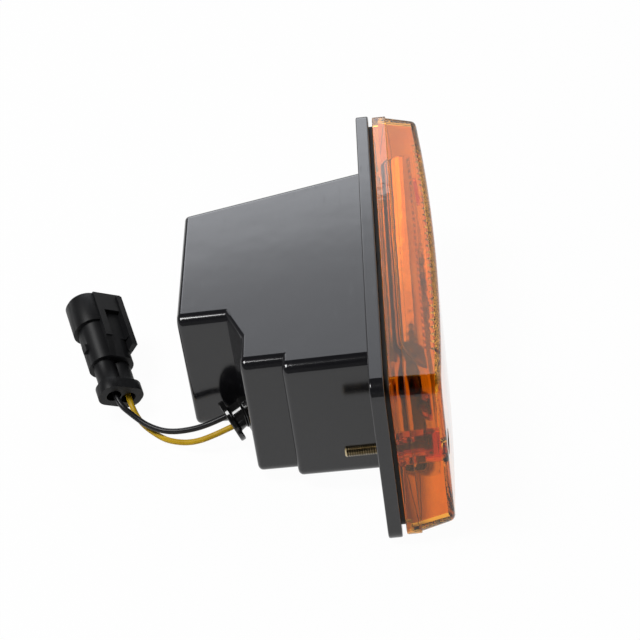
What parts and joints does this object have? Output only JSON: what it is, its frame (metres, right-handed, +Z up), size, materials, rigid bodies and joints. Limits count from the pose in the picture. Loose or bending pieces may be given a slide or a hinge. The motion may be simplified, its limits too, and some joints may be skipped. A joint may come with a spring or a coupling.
{
  "type": "vehicle indicator lamp",
  "caption": "Flanged rectangular vehicle indicator lamp with an amber lens, stepped black housing, rear screw ends and a short wired plug.",
  "frame": {"origin": "centre of the flange's rear face, midway between the two screw ends, on the face that lies against the panel", "axes": "+X along the lamp from the wired end to the far end, +Y out of the flange's rear face into the vehicle, +Z up; the lens faces -Y"},
  "size_m": [0.174, 0.1388, 0.067],
  "materials": {
    "housing_plastic": "moulded, glossy black",
    "amber_lens": "transparent amber, polished",
    "gasket_rubber": "black closed-cell strip",
    "plated_steel": "yellow passivated plating",
    "metallised_plastic": "bright metallised",
    "bulb_glass": "clear",
    "filament_metal": "drawn wire",
    "cap_brass": "bright",
    "solder": "soldered",
    "socket_metal": "plated sheet",
    "insulator_board": "brown laminate",
    "holder_plastic": "black, satin",
    "tinned_metal": "tinned",
    "black_insulation": "satin black",
    "yellow_insulation": "satin yellow",
    "grommet_rubber": "black, slightly shiny",
    "plug_plastic": "satin black",
    "seal_rubber": "brown silicone"
  },
  "bodies": {
    "root": {"housing": "housing_plastic", "lens": "amber_lens", "lens_gasket": "gasket_rubber", "lens_screws": "plated_steel", "reflector": "metallised_plastic", "bulb_glass": "bulb_glass", "bulb_filament": "filament_metal", "bulb_cap": "cap_brass", "bulb_contact": "solder", "socket_shell": "socket_metal", "socket_insulator": "insulator_board", "socket_plunger": "cap_brass", "socket_holder": "holder_plastic", "socket_terminals": "tinned_metal", "black_wire": "black_insulation", "yellow_wire": "yellow_insulation", "grommet": "grommet_rubber", "plug_housing": "plug_plastic", "plug_contacts": "tinned_metal", "plug_seals": "seal_rubber"}
  },
  "joints": []
}
